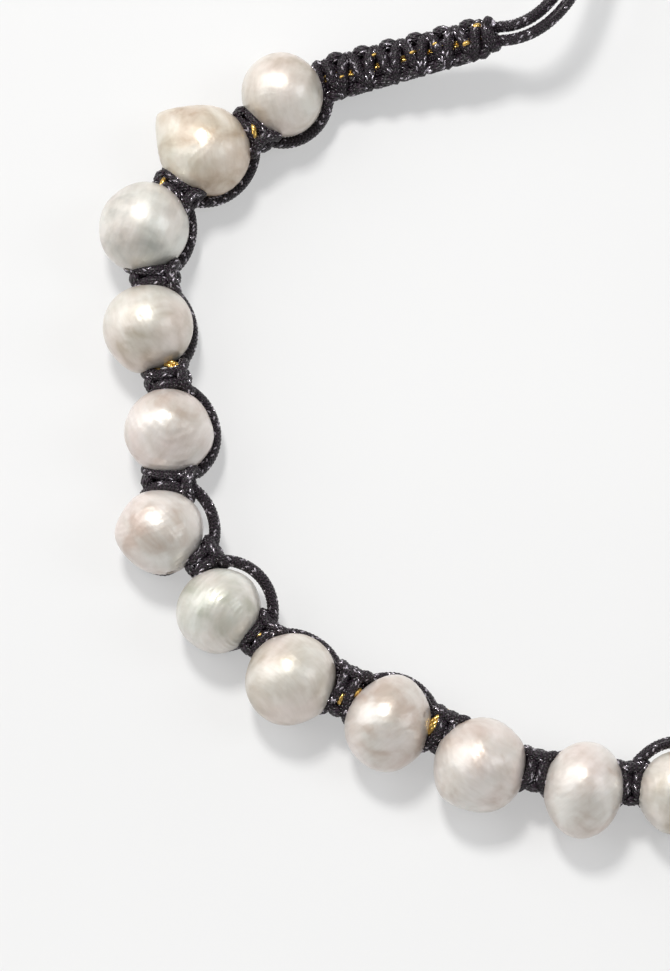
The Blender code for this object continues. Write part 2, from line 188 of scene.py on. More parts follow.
# How far each knot sits to the inside of the loop, in mm, from the band to the middle of the front row
KNOT_LEANS = (0.7, 0.1, 0.6, 0.5, 0.4, 0.9, 0.5, 0.9, 0.9, 0.25, 0.3, 0.3)

# The share of the full length to which each knot reaches towards the outside of the loop
KNOT_REACHES = (0.9, 0.9, 0.85, 0.7, 1.0, 0.45, 0.65, 1.0, 0.7, 0.55, 0.6, 0.65)

# How far each knot sits towards the next pearl, in mm
KNOT_SHIFTS = (0.0, 0.0, 0.0, 0.25, 0.0, 0.0, 0.0, 0.0, 0.45, 0.0, 0.0, 0.0)

# Where the gold thread comes up through the band: the distance from its start, across it inwards, and width
BAND_STITCHES = (
    (1.29, 0.27, 0.20),
    (3.80, -0.62, 0.22),
    (6.43, -0.07, 0.22),
    (8.10, -0.26, 0.20),
    (10.20, 0.30, 0.34),
    (11.10, -0.80, 0.50),
)

# Where the gold thread shows, in mm from the middle of each knot: along the string, inwards and upwards
# turn is the strand's heading in degrees, and length and width are its own.
GlimpseRow = namedtuple("GlimpseRow", "knot along inward up turn length width")
GLIMPSE_ROWS = (
    GlimpseRow(1, 0.15, 1.05, 0.95, 60, 1.1, 0.42),
    GlimpseRow(2, 0.45, -0.95, 0.70, 20, 0.9, 0.38),
    GlimpseRow(4, -0.95, 1.35, 0.60, 55, 1.2, 0.34),
    GlimpseRow(4, -0.75, 1.15, 0.62, 55, 1.2, 0.34),
    GlimpseRow(7, 0.05, 0.60, 0.80, 80, 0.8, 0.34),
    GlimpseRow(8, 0.00, 0.25, 0.74, 90, 0.9, 0.36),
    GlimpseRow(8, 0.70, 0.85, 0.62, 70, 0.9, 0.34),
    GlimpseRow(9, -0.80, 1.75, 0.52, 60, 1.6, 0.42),
    GlimpseRow(9, -0.72, 1.40, 0.62, 62, 1.7, 0.46),
    GlimpseRow(9, -0.70, 1.05, 0.62, 70, 1.5, 0.44),
    GlimpseRow(11, -0.62, 0.40, 0.62, 85, 0.9, 0.34),
    GlimpseRow(11, 0.62, 0.75, 0.62, 85, 1.0, 0.38),
)


def unit(vectors):
    vectors = np.asarray(vectors, float)
    return vectors / np.linalg.norm(vectors, axis=-1, keepdims=True)


def direction(heading, rise=0.0):
    flat = math.cos(math.radians(rise))
    angle = math.radians(heading)
    return np.array((flat * math.cos(angle), flat * math.sin(angle), math.sin(math.radians(rise))))


def mirrored(vector, side):
    return np.array((-side * vector[0], vector[1], vector[2]))


def angle_from(ways, axis):
    return np.degrees(np.arccos(np.clip(ways @ axis, -1, 1)))


# Pearls


class Pearl:
    """A pearl's place, its drilled axis and its surface."""

    def __init__(self, number, row, place):
        self.number = number
        self.row = row
        self.centre = np.array(place, float)
        self.side = -1 if number <= len(PEARL_ROWS) else 1
        self.skin = SKIN_ROWS[number - 1 if self.side < 0 else 2 * len(PEARL_ROWS) - number]
        self.bumps = [bump for bump in BUMP_ROWS if bump.pearl == number]
        self.random = np.random.default_rng(400 + number)
        self.waves = []
        for _ in range(RIPPLES):
            axis = unit(self.random.normal(size=3))
            self.waves.append((axis, self.random.uniform(2.5, 7.0), self.random.uniform(0, math.tau)))

    def settle(self, along):
        """Turns the bore this way, and rests the lowest point of the faceted pearl on the floor."""
        self.along = unit(along)
        self.inward = unit(np.cross(UP, self.along))
        ways = self.faceted_ways()
        self.centre[2] = -min(ways[:, 2] * self.reach(ways))

    def faceted_ways(self):
        """The directions of the points of the solid pearl, with its poles on the drilled axis."""
        tall = np.arange(1, SOLID_RINGS) * math.pi / SOLID_RINGS
        turn = np.arange(SOLID_SIDES) * math.tau / SOLID_SIDES
        t, r = np.meshgrid(tall, turn, indexing="ij")
        local = np.stack((np.sin(t) * np.cos(r), np.sin(t) * np.sin(r), np.cos(t)), -1).reshape(-1, 3)
        local = np.concatenate((local, ((0, 0, 1), (0, 0, -1))))
        return unit(local[:, :1] * self.inward + local[:, 1:2] * UP + local[:, 2:] * self.along)

    def bored_grid(self, sides, rings):
        """Directions on the pearl from one mouth of its bore to the other, and its faces with the bore's."""
        mouth = math.asin(BORE_WIDTH / (PEARL_WIDTH * self.row.length))
        tall = np.linspace(mouth, math.pi - mouth, rings)
        t, r = np.meshgrid(tall, np.arange(sides) * math.tau / sides, indexing="ij")
        across = np.cos(r)[..., None] * self.inward + np.sin(r)[..., None] * UP
        ways = np.sin(t)[..., None] * across + np.cos(t)[..., None] * self.along
        faces = []
        for ring in range(rings):
            near, far = ring * sides, (ring + 1) % rings * sides
            for side in range(sides):
                after = (side + 1) % sides
                faces.append((near + side, far + side, far + after, near + after))
        return ways.reshape(-1, 3), faces

    def reach(self, ways):
        half = 0.5 * PEARL_WIDTH
        shares = (
            ways @ self.along / (half * self.row.length),
            ways @ self.inward / (half * self.row.width),
            ways[..., 2] / (half * self.row.height),
        )
        distance = 1 / np.sqrt(sum(share**2 for share in shares))
        for bump in self.bumps:
            away = angle_from(ways, direction(bump.azimuth, bump.elevation))
            power = 1.35 if bump.height > SHARP_NUB else 2
            distance = distance + bump.height * PEARL_WIDTH * np.exp(-((away / bump.spread) ** power))
        return distance

    def relief(self, ways):
        """The fine skin on top of the pearl's form: broad ripples, growth rings and a few pits."""
        waves = sum(np.sin(often * (ways @ axis) + phase) for axis, often, phase in self.waves) / 3
        pole = mirrored(direction(self.skin.azimuth, self.skin.elevation), self.side)
        wander = 0.05 * waves + 0.03 * np.sin(9 * ways[:, 0] + 5 * ways[:, 2])
        turn = np.radians(angle_from(ways, pole)) + wander
        rings = np.sin(turn * self.skin.count * 2) * (0.4 + 0.6 * np.clip(waves, -1, 1) ** 2)
        height = self.skin.wave * waves + self.skin.ring * rings
        for _ in range(PITS):
            away = angle_from(ways, unit(self.random.normal(size=3)))
            height = height - PIT_DEPTH * np.exp(-((away / self.random.uniform(2.5, 5)) ** 2))
        return height - SKIN_INSET

    def surface(self, way):
        way = unit(way)
        return self.centre + way * self.reach(way)

    def hole(self, sign):
        return self.surface(sign * self.along)


def make_string():
    """The pearls in their places, each turned along the string."""
    first = PEARL_ROWS[0]
    here = np.array((-0.5 * (first.gap * PEARL_SPACE + first.length * PEARL_WIDTH), 0, 0))
    places = []
    for row, following in zip(PEARL_ROWS, PEARL_ROWS[1:] + (None,)):
        places.append(here)
        if following:
            halves = 0.5 * PEARL_WIDTH * (row.length + following.length)
            here = here + direction(row.heading) * (halves + following.gap * PEARL_SPACE)
    left = list(zip(PEARL_ROWS, places))
    rows = left[::-1] + [(row, mirrored(place, 1)) for row, place in left]
    pearls = [Pearl(number, row, place) for number, (row, place) in enumerate(rows, 1)]
    steps = [unit(b.centre - a.centre) for a, b in zip(pearls, pearls[1:])]
    from_band = -direction(BAND_HEADING)
    steps = [from_band] + steps + [mirrored(-from_band, 1)]
    for pearl, before, after in zip(pearls, steps, steps[1:]):
        pearl.settle(before + after)
    low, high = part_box("pearl_08")
    shift = 0.5 * (np.array(low) + np.array(high)) / MM - pearls[7].centre
    for pearl in pearls:
        pearl.centre[:2] += shift[:2]
    return pearls


# Meshes


def add_mesh(name, points, faces, material, origin=(0, 0, 0), uvs=None):
    """A smooth mesh object from points in mm. uvs holds one pair for each corner of each face."""
    origin = np.asarray(origin, float)
    mesh = bpy.data.meshes.new(name)
    places = ((np.asarray(points) - origin) * MM).tolist()
    mesh.from_pydata(places, [], [tuple(map(int, face)) for face in faces])
    mesh.polygons.foreach_set("use_smooth", [True] * len(mesh.polygons))
    if uvs is not None:
        layer = mesh.uv_layers.new(name="cord")
        layer.data.foreach_set("uv", np.asarray(uvs, np.float32).ravel())
    mesh.materials.append(material)
    mesh.update()
    obj = bpy.data.objects.new(name, mesh)
    obj.location = origin * MM
    bpy.context.scene.collection.objects.link(obj)
    return obj


def smooth_path(points, spacing):
    """Evenly spaced points on a centripetal curve through the given ones."""
    points = np.asarray(points, float)
    points = np.concatenate((2 * points[:1] - points[1:2], points, 2 * points[-1:] - points[-2:-1]))
    dense = []
    for p0, p1, p2, p3 in zip(points, points[1:], points[2:], points[3:]):
        t0 = 0.0
        t1 = t0 + max(np.linalg.norm(p1 - p0), 1e-6) ** 0.5
        t2 = t1 + max(np.linalg.norm(p2 - p1), 1e-6) ** 0.5
        t3 = t2 + max(np.linalg.norm(p3 - p2), 1e-6) ** 0.5
        t = np.linspace(t1, t2, 14, endpoint=False)[:, None]
        a1 = (t1 - t) / (t1 - t0) * p0 + (t - t0) / (t1 - t0) * p1
        a2 = (t2 - t) / (t2 - t1) * p1 + (t - t1) / (t2 - t1) * p2
        a3 = (t3 - t) / (t3 - t2) * p2 + (t - t2) / (t3 - t2) * p3
        b1 = (t2 - t) / (t2 - t0) * a1 + (t - t0) / (t2 - t0) * a2
        b2 = (t3 - t) / (t3 - t1) * a2 + (t - t1) / (t3 - t1) * a3
        dense.append((t2 - t) / (t2 - t1) * b1 + (t - t1) / (t2 - t1) * b2)
    dense = np.concatenate(dense + [points[-2:-1]])
    return resampled(dense, spacing)


def resampled(points, spacing):
    lengths = np.concatenate(((0,), np.cumsum(np.linalg.norm(np.diff(points, axis=0), axis=1))))
    count = max(4, int(round(lengths[-1] / spacing)) + 1)
    even = np.linspace(0, lengths[-1], count)
    return np.stack([np.interp(even, lengths, points[:, axis]) for axis in range(3)], -1)


def braid_lift(round_axis, run, depth):
    """How far the braid's stitches stand out: columns of stitches that point along the cord."""
    column = round_axis * STITCH_COLUMNS
    slant = np.abs(2 * (column % 1) - 1)
    return depth * np.cos(math.tau * (run / STITCH_PITCH - 0.5 * slant))


def swept(path, radius, sides, depth):
    """A cord's points, faces and uvs: the turn round the cord and the length along it in mm."""
    path = np.asarray(path, float)
    tangents = unit(np.gradient(path, axis=0))
    normal = np.cross(tangents[0], UP)
    if np.linalg.norm(normal) < 1e-3:
        normal = np.array((1.0, 0.0, 0.0))
    normal = unit(normal)
    normals = []
    for tangent in tangents:
        normal = unit(normal - tangent * (normal @ tangent))
        normals.append(normal)
    normals = np.array(normals)
    others = np.cross(tangents, normals)
    run = np.concatenate(((0,), np.cumsum(np.linalg.norm(np.diff(path, axis=0), axis=1))))
    share = np.arange(sides) / sides
    angle = math.tau * share[None, :, None]
    radii = radius + braid_lift(share[None, :], run[:, None], depth)
    points = path[:, None] + radii[..., None] * (
        np.cos(angle) * normals[:, None] + np.sin(angle) * others[:, None]
    )
    points = points.reshape(-1, 3)
    start = np.arange(len(path) - 1)[:, None] * sides
    side = np.arange(sides)[None, :]
    after = (side + 1) % sides
    rings = [(start + side), (start + after), (start + sides + after), (start + sides + side)]
    faces = np.stack([ring.ravel() for ring in rings], -1)
    low = (np.broadcast_to(side, (len(path) - 1, sides)) / sides).ravel()
    high = low + 1 / sides
    near = np.repeat(run[:-1], sides)
    far = np.repeat(run[1:], sides)
    uvs = np.stack((low, near, high, near, high, far, low, far), -1).reshape(-1, 2)
    tip, last = len(points), len(points) - sides
    points = np.concatenate((points, path[:1], path[-1:]))
    start_cap = [(tip, (corner + 1) % sides, corner) for corner in range(sides)]
    end_cap = [(tip + 1, last + corner, last + (corner + 1) % sides) for corner in range(sides)]
    cap_uvs = np.zeros((2 * sides * 3, 2))
    cap_uvs[3 * sides :, 1] = run[-1]
    return points, [tuple(face) for face in faces] + start_cap + end_cap, np.concatenate((uvs, cap_uvs))


class Bundle:
    """Several swept cords gathered into one piece."""

    def __init__(self, name, material, node, slot):
        self.name, self.material, self.node, self.slot = name, material, node, slot
        self.points, self.faces, self.uvs, self.count = [], [], [], 0

    def add(self, path, radius=CORD_RADIUS, sides=16, depth=STITCH_DEPTH):
        points, faces, uvs = swept(path, radius, sides, depth)
        self.points.append(points)
        self.faces += [tuple(corner + self.count for corner in face) for face in faces]
        self.uvs.append(uvs)
        self.count += len(points)

    def made(self):
        points = np.concatenate(self.points)
        points[:, 2] = np.maximum(points[:, 2], 0.0)
        obj = add_mesh(self.name, points, self.faces, self.material, uvs=np.concatenate(self.uvs))
        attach(obj, "root")
        if self.node:
            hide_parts(self.node)
        return obj


# Materials


NACRE_FINISH = {
    "Metallic": 0.3,
    "Roughness": 0.42,
    "Specular IOR Level": 0.8,
    "Subsurface Weight": 0.12,
    "Subsurface Radius": (0.0012, 0.0010, 0.0008),
    "Coat Weight": 0.5,
    "Coat Roughness": 0.15,
    "Coat IOR": 1.6,
}
BRAID_FINISH = {"Specular IOR Level": 0.5, "Coat Weight": 0.12, "Coat Roughness": 0.25}
GOLD_FINISH = {"Metallic": 0.9, "Roughness": 0.26}
PAPER_FINISH = {"Emission Strength": 0.88, "Roughness": 0.6, "Specular IOR Level": 0.1}

# The main colour, the light clouds and the deep clouds of each kind of nacre
TINTS = {
    "cream": ((0.65, 0.59, 0.53), (0.76, 0.71, 0.66), (0.49, 0.42, 0.34)),
    "beige": ((0.62, 0.54, 0.44), (0.74, 0.69, 0.61), (0.42, 0.31, 0.21)),
    "grey": ((0.61, 0.59, 0.55), (0.74, 0.72, 0.68), (0.45, 0.44, 0.41)),
    "rose": ((0.69, 0.63, 0.59), (0.78, 0.73, 0.70), (0.55, 0.45, 0.39)),
    "green": ((0.67, 0.65, 0.60), (0.77, 0.75, 0.71), (0.51, 0.51, 0.44)),
}
OVERTONES = ((0.34, (0.95, 0.99, 0.97)), (0.50, (1.0, 0.99, 0.97)), (0.64, (1.0, 0.94, 0.92)))
SILK = ((0.35, (0.86, 0.84, 0.81)), (0.60, (1.0, 1.0, 1.0)))
SILK_SCALE = (2600.0, 500.0, 600.0)

# The yarn with painted shade in the braid's grooves and its colour on the stitches, and the glinting filament in a
# share of the stitches
YARN_GROOVE_SHADE = (0.002, 0.001, 0.002)
YARN_LIGHT = (0.028, 0.015, 0.026)
YARN_SHADES = ((0.3, (0.5, 0.45, 0.5)), (0.7, (1.3, 1.2, 1.3)))
FILAMENT = (0.74, 0.68, 0.76)
FILAMENT_SHARE = 0.13

GOLD_SHADES = ((0.35, (0.42, 0.23, 0.05)), (0.60, (0.88, 0.60, 0.18)))
PAPER_SHADES = ((0.3, (0.445, 0.445, 0.445)), (0.7, (0.455, 0.455, 0.455)))


def shader(name, finish):
    """A new material, its node tree and its shader with these values on the shader's own sockets."""
    material = bpy.data.materials.new(name)
    material.use_nodes = True
    principled = material.node_tree.nodes["Principled BSDF"]
    for socket, value in finish.items():
        principled.inputs[socket].default_value = value
    return material, material.node_tree, principled


def node(tree, kind, inputs=None, **settings):
    made = tree.nodes.new(kind)
    for key, value in settings.items():
        setattr(made, key, value)
    for key, value in (inputs or {}).items():
        if isinstance(value, bpy.types.NodeSocket):
            tree.links.new(value, made.inputs[key])
        else:
            made.inputs[key].default_value = value
    return made


def maths(tree, operation, first, second=0.0, clamp=False):
    return node(tree, "ShaderNodeMath", {0: first, 1: second}, operation=operation, use_clamp=clamp).outputs[0]


def ramp(tree, factor, stops):
    made = node(tree, "ShaderNodeValToRGB", {"Fac": factor})
    elements = made.color_ramp.elements
    while len(elements) < len(stops):
        elements.new(0.5)
    for element, (place, colour) in zip(elements, stops):
        element.position = place
        element.color = (*colour, 1)
    return made.outputs["Color"]


def mix(tree, factor, first, second, blend="MIX"):
    made = node(tree, "ShaderNodeMix", data_type="RGBA", blend_type=blend)
    for index, value in ((0, factor), (6, first), (7, second)):
        if isinstance(value, bpy.types.NodeSocket):
            tree.links.new(value, made.inputs[index])
        else:
            made.inputs[index].default_value = value if index == 0 else (*value, 1)
    return made.outputs[2]


def noise(tree, vector, scale, detail, distortion=0.0):
    inputs = {"Scale": scale, "Detail": detail, "Distortion": distortion}
    if vector:
        inputs["Vector"] = vector
    return node(tree, "ShaderNodeTexNoise", inputs).outputs["Fac"]


def nacre(name, tint, seed):
    """Nacre with clouds of overtone, silky streaks and a soft, glassy skin."""
    material, tree, principled = shader(name, NACRE_FINISH)
    place = node(tree, "ShaderNodeTexCoord").outputs["Object"]
    away = (seed * 0.013, seed * 0.007, seed * 0.003)
    mapped = node(tree, "ShaderNodeMapping", {"Vector": place, "Location": away}).outputs[0]
    turn = (0.2 * math.sin(seed), 0.5 * math.sin(2 * seed), 0.9 * math.sin(3 * seed))
    turned = node(tree, "ShaderNodeMapping", {"Vector": mapped, "Rotation": turn}).outputs[0]
    drawn = node(tree, "ShaderNodeMapping", {"Vector": turned, "Scale": SILK_SCALE}).outputs[0]
    streaks = noise(tree, drawn, 1.0, 3.0)
    clouds = noise(tree, mapped, 400.0, 4.0, 0.4)
    fine = noise(tree, mapped, 1300.0, 4.0, 0.3)
    over = noise(tree, mapped, 260.0, 2.0, 0.2)
    warm, light, deep = TINTS[tint]
    colour = ramp(tree, clouds, ((0.32, deep), (0.46, warm), (0.60, light)))
    colour = mix(tree, 0.8, colour, ramp(tree, over, OVERTONES), "MULTIPLY")
    colour = mix(tree, 0.5, colour, ramp(tree, streaks, SILK), "MULTIPLY")
    tree.links.new(colour, principled.inputs["Base Color"])
    relief = maths(tree, "ADD", maths(tree, "MULTIPLY", streaks, 0.6), fine)
    bump = node(tree, "ShaderNodeBump", {"Height": relief, "Strength": 0.55, "Distance": 0.00006})
    tree.links.new(bump.outputs[0], principled.inputs["Normal"])
    tree.links.new(bump.outputs[0], principled.inputs["Coat Normal"])
    return material


def cord_place(tree):
    """Sockets with the turn round the cord and the length along it in mm."""
    place = node(tree, "ShaderNodeSeparateXYZ", {0: node(tree, "ShaderNodeUVMap", uv_map="cord").outputs[0]})
    return place.outputs["X"], place.outputs["Y"]


def stitches(tree):
    """The height of the braid's stitches, a random value for each stitch, and the grooves between columns."""
    turn, run = cord_place(tree)
    column = maths(tree, "MULTIPLY", turn, STITCH_COLUMNS)
    across = maths(tree, "SUBTRACT", maths(tree, "MULTIPLY", maths(tree, "FRACT", column), 2.0), 1.0)
    slant = maths(tree, "ABSOLUTE", across)
    row = maths(tree, "SUBTRACT", maths(tree, "DIVIDE", run, STITCH_PITCH), maths(tree, "MULTIPLY", slant, 0.5))
    wave = maths(tree, "COSINE", maths(tree, "MULTIPLY", row, math.tau))
    height = maths(tree, "MULTIPLY_ADD", wave, 0.5)
    height.node.inputs[2].default_value = 0.5
    stitch = maths(tree, "FLOOR", maths(tree, "MULTIPLY", column, 2.0)), maths(tree, "ROUND", row)
    cell = node(tree, "ShaderNodeCombineXYZ", dict(enumerate(stitch))).outputs[0]
    chance = node(tree, "ShaderNodeTexWhiteNoise", {"Vector": cell}, noise_dimensions="2D").outputs["Value"]
    groove = maths(tree, "MULTIPLY", maths(tree, "SUBTRACT", 1.0, slant), slant)
    return height, chance, groove


def braid(name):
    """A thin braided cord of dark yarn, with painted shade in the grooves between its stitches and a glinting
    filament in some of the stitches.
    """
    material, tree, principled = shader(name, BRAID_FINISH)
    height, chance, groove = stitches(tree)
    # Painted shade: the yarn is coloured far darker in the grooves between rows of stitches than on the stitches'
    # crests.
    colour = ramp(tree, height, ((0.15, YARN_GROOVE_SHADE), (0.85, YARN_LIGHT)))
    colour = mix(tree, 0.5, colour, ramp(tree, noise(tree, None, 900.0, 2.0), YARN_SHADES), "MULTIPLY")
    glint = maths(tree, "MULTIPLY", maths(tree, "GREATER_THAN", chance, 1 - FILAMENT_SHARE), height)
    glint = maths(tree, "MULTIPLY", glint, 1.3, clamp=True)
    roughness = maths(tree, "SUBTRACT", 0.34, maths(tree, "MULTIPLY", glint, 0.12))
    tree.links.new(mix(tree, glint, colour, FILAMENT), principled.inputs["Base Color"])
    tree.links.new(maths(tree, "MULTIPLY", glint, 0.8), principled.inputs["Metallic"])
    tree.links.new(roughness, principled.inputs["Roughness"])
    relief = maths(tree, "ADD", height, maths(tree, "MULTIPLY", groove, 1.2))
    bump = node(tree, "ShaderNodeBump", {"Height": relief, "Strength": 1.0, "Distance": 0.00011})
    tree.links.new(bump.outputs[0], principled.inputs["Normal"])
    return material


def gold_thread(name):
    """Bright gold metallic thread, spun at a slant."""
    material, tree, principled = shader(name, GOLD_FINISH)
    turn, run = cord_place(tree)
    twist = maths(tree, "ADD", maths(tree, "MULTIPLY", turn, 3 * math.tau), maths(tree, "MULTIPLY", run, 22.0))
    wave = maths(tree, "SINE", twist)
    tree.links.new(ramp(tree, noise(tree, None, 3000.0, 2.0), GOLD_SHADES), principled.inputs["Base Color"])
    bump = node(tree, "ShaderNodeBump", {"Height": wave, "Strength": 0.35, "Distance": 0.00003})
    tree.links.new(bump.outputs[0], principled.inputs["Normal"])
    return material


def paper_floor(name):
    """White paper on a light table: part of its brightness comes through it."""
    material, tree, principled = shader(name, PAPER_FINISH)
    colour = ramp(tree, noise(tree, None, 30.0, 2.0), PAPER_SHADES)
    tree.links.new(colour, principled.inputs["Base Color"])
    tree.links.new(colour, principled.inputs["Emission Color"])
    return material


# Cords, knots, bands and tails


def fineness(fine):
    """The spacing of a cord's points and its number of sides."""
    return FINE_CORD if fine else PLAIN_CORD


def arc_points(pearl, sign):
    """A side cord round one pearl, on the inside of the loop with sign 1 and on the outside with sign -1."""
    row = pearl.row
    reach = INNER_REACH if sign > 0 else OUTER_REACH
    lift = 0.5 * CORD_WIDTH - (INNER_PRESS if sign > 0 else OUTER_PRESS)
    points = []
    for angle in np.linspace(-reach, reach, ARC_POINTS):
        if sign > 0:
            tilt = math.radians(row.inner_tilt)
        else:
            depth = (pearl.centre[2] - 0.5 * CORD_WIDTH) / (0.5 * PEARL_WIDTH + lift)
            tilt = -math.asin(min(0.985, depth / math.cos(math.radians(angle))))
        across = sign * pearl.inward * math.cos(tilt) + UP * math.sin(tilt)
        way = across * math.cos(math.radians(angle)) + pearl.along * math.sin(math.radians(angle))
        share = 0.5 + 0.5 * angle / reach
        ends = (row.slack_b, row.slack_a) if pearl.side < 0 else (row.slack_a, row.slack_b)
        slack = ends[0] * (1 - share) + ends[1] * share if sign > 0 else 0.0
        points.append(pearl.surface(way) + unit(way) * (lift + slack))
    return points


class Knot:
    """The square knot between two pearls, with its own axes: along the string, inwards and upwards."""

    def __init__(self, number, before, after):
        place = min(number, 2 * len(PEARL_ROWS) - number) - 1
        self.lean = KNOT_LEANS[place]
        self.reach = KNOT_REACHES[place]
        self.shift = KNOT_SHIFTS[place] if number <= len(PEARL_ROWS) else -KNOT_SHIFTS[place]
        self.along = unit(after.centre - before.centre)
        self.centre = 0.5 * (before.surface(self.along) + after.surface(-self.along))
        self.inward = unit(np.cross(UP, self.along))
        self.up = np.cross(self.along, self.inward)

    def at(self, along, inward, up):
        across = self.lean + inward * (self.reach if inward < 0 else 1)
        return self.centre + (along + self.shift) * self.along + across * self.inward + up * self.up

    def path(self, rows):
        return [self.at(*row) for row in rows]

    def bars(self):
        """The two crossbars on top, joined under the cap strand."""
        half = (
            (0.95, -1.70, -0.60),
            (0.72, -1.45, 0.05),
            (0.50, -1.00, 0.46),
            (0.37, -0.45, 0.68),
            (0.35, 0.15, 0.72),
            (0.42, 0.75, 0.60),
            (0.45, 1.20, 0.15),
        )
        turn = ((0.00, 1.42, -0.20),)
        return self.path(tuple((-along, inward, up) for along, inward, up in half) + turn + half[::-1])

    def cap(self):
        """The strand that crosses the inner end of the bars."""
        return self.path(((-1.00, 1.42, 0.15), (-0.38, 1.16, 0.74), (0.38, 1.16, 0.74), (1.00, 1.42, 0.15)))

    def loop(self):
        """The loop underneath, which shows as a knob at the outer end."""
        half = (
            (0.36, -1.40, 0.00),
            (0.42, -0.95, -0.60),
            (0.41, 0.00, -0.80),
            (0.40, 0.95, -0.62),
        )
        knob = ((0.0, -1.62, 0.26),)
        turn = ((0.00, 1.35, -0.75),)
        back = tuple((-along, inward, up) for along, inward, up in half[::-1])
        return self.path(turn + back + knob + half + turn)


def make_side_cords(pearls, knots, material):
    """The side cords and the knots, in pieces by stretches of the string."""
    groups = ((0, 6), (6, 12), (12, 18), (18, 24))
    for index, (first, last) in enumerate(groups):
        spacing, sides = fineness(index < 2)
        replaced = "side_cords" if index == 0 else None
        bundle = Bundle(f"side_cords_{index + 1}", material, replaced, "dark_cord")
        inner, outer = [], []
        for number in range(first, last):
            pearl = pearls[number]
            if number == 0:
                inner += band_entry(pearls[0], -1, 1)
                outer += band_entry(pearls[0], -1, -1)
            inner += arc_points(pearl, 1)
            outer += arc_points(pearl, -1)
            if number < len(knots):
                inner += knots[number].cap()
                outer += knots[number].bars()
                bundle.add(smooth_path(knots[number].loop(), spacing), sides=sides)
            else:
                inner += band_entry(pearls[-1], 1, 1)[::-1]
                outer += band_entry(pearls[-1], 1, -1)[::-1]
        if last < len(pearls):
            inner += arc_points(pearls[last], 1)[:1]
            outer += arc_points(pearls[last], -1)[:1]
        bundle.add(smooth_path(inner, spacing), sides=sides)
        bundle.add(smooth_path(outer, spacing), sides=sides)
        bundle.made()


def band_frame(pearl, side):
    axis = mirrored(direction(BAND_HEADING, BAND_RISE), side)
    level = unit(np.cross(UP, axis))
    return pearl.hole(side) + axis * BAND_GAP - UP * BAND_DROP, axis, level, np.cross(axis, level)


def band_length():
    return BAND_KNOTS * BAND_KNOT_PITCH + BAND_WRAP_LENGTH


def band_entry(pearl, side, sign):
    """Where a side cord leaves the band for its first or last pearl, sign 1 on the inside of the loop."""
    start, axis, level, upright = band_frame(pearl, side)
    inside = -sign * level * (1 if side < 0 else -1)
    return [start + axis * 0.9 + inside * 0.75 - upright * 0.1, start + axis * 0.20 + inside * 1.05]


# One square knot of the band by its two cords: how far along the knot as a share of its pitch, across and up
BAND_OVER = (
    (0.10, -0.98, 0.22),
    (0.22, -0.62, 0.52),
    (0.29, 0.00, 0.62),
    (0.36, 0.62, 0.50),
    (0.48, 1.14, -0.05),
    (0.62, 0.66, 0.50),
    (0.71, 0.00, 0.62),
    (0.80, -0.60, 0.50),
    (0.94, -1.05, 0.05),
)
BAND_UNDER = (
    (0.02, 1.12, 0.18),
    (0.20, 1.16, 0.30),
    (0.34, 0.95, -0.20),
    (0.32, 0.00, -0.60),
    (0.30, -0.80, -0.32),
    (0.40, -1.15, 0.20),
    (0.60, -1.18, 0.28),
    (0.72, -0.92, -0.25),
    (0.70, 0.00, -0.60),
    (0.72, 0.85, -0.30),
    (0.86, 1.12, 0.10),
)
BAND_STITCH = ((-0.24, 0.06, -0.40), (-0.08, 0.02, 0.0), (0.08, -0.02, 0.0), (0.24, -0.06, -0.40))


def make_band(name, pearl, side, material, gold, fine):
    """A flat sinnet of square knots round a core of gold thread, and the wrap at its end."""
    start, axis, level, upright = band_frame(pearl, side)
    inside = -level * (1 if side < 0 else -1)
    random = np.random.default_rng(70 + side)
    first, last = BAND_TAPER
    end = BAND_KNOTS * BAND_KNOT_PITCH
    spacing, sides = fineness(fine)

    def at(place, across, up):
        taper = first - (first - last) * place / band_length()
        return start + axis * place + inside * across * taper + upright * up

    bundle = Bundle(name, material, name, "dark_cord")
    for rows, across in ((BAND_OVER, -0.45), (BAND_UNDER, 0.45)):
        route = []
        for knot in range(BAND_KNOTS):
            route += [at((knot + share) * BAND_KNOT_PITCH, aside, up) for share, aside, up in rows]
        route.append(at(end + 0.25, across, -0.2))
        bundle.add(smooth_path(route, spacing), radius=0.40, sides=sides)
    wrap = []
    for step in range(2 * 12 + 1):
        angle = math.tau * step / 12 + 0.6
        wrap.append(at(end + 0.22 + 0.02 * step, 0.88 * math.cos(angle), 0.58 * math.sin(angle)))
    bundle.add(smooth_path(wrap, spacing), radius=0.34, sides=sides)
    knob = []
    for step in range(8):
        knob.append(at(end + 0.45 + 0.05 * step, -0.95 + 0.16 * math.cos(step), 0.45 + 0.2 * math.sin(step)))
    bundle.add(smooth_path(knob, spacing), radius=0.30, sides=sides)
    bundle.made()

    filling = Bundle(name + "_filling", material, None, "dark_cord")
    for across in (-0.42, 0.42):
        points = [at(place, across, -0.08) for place in np.linspace(-0.5, end + 0.6, 12)]
        filling.add(smooth_path(points, 0.2), radius=0.44, sides=10)
    turn = []
    for step in range(11):
        turn.append(at(-0.42 + 0.02 * step, 1.02 * math.cos(0.62 * step), 0.60 * math.sin(0.62 * step)))
    filling.add(smooth_path(turn, spacing), radius=0.38, sides=sides)
    filling.made()

    core = Bundle(name + "_core", gold, None, "gold_thread")
    for across in (-0.16, 0.16):
        points = []
        for place in np.linspace(-0.1, end + 0.6, 24):
            points.append(at(place, across + 0.05 * math.sin(3 * place), 0.10 + 0.03 * random.normal()))
        core.add(smooth_path(points, 0.2), radius=BAND_CORE_RADIUS, sides=8, depth=0)
    for place, across, width in BAND_STITCHES:
        top = 0.98 - 0.6 * across**2
        points = [at(place + along, across + aside, top + lift) for along, aside, lift in BAND_STITCH]
        core.add(smooth_path(points, 0.08), radius=0.5 * width, sides=8, depth=0)
    core.made()


def bezier(points, share):
    rest = 1 - share
    weights = (rest**3, 3 * rest**2 * share, 3 * rest * share**2, share**3)
    return sum(weight * point for weight, point in zip(weights, points))


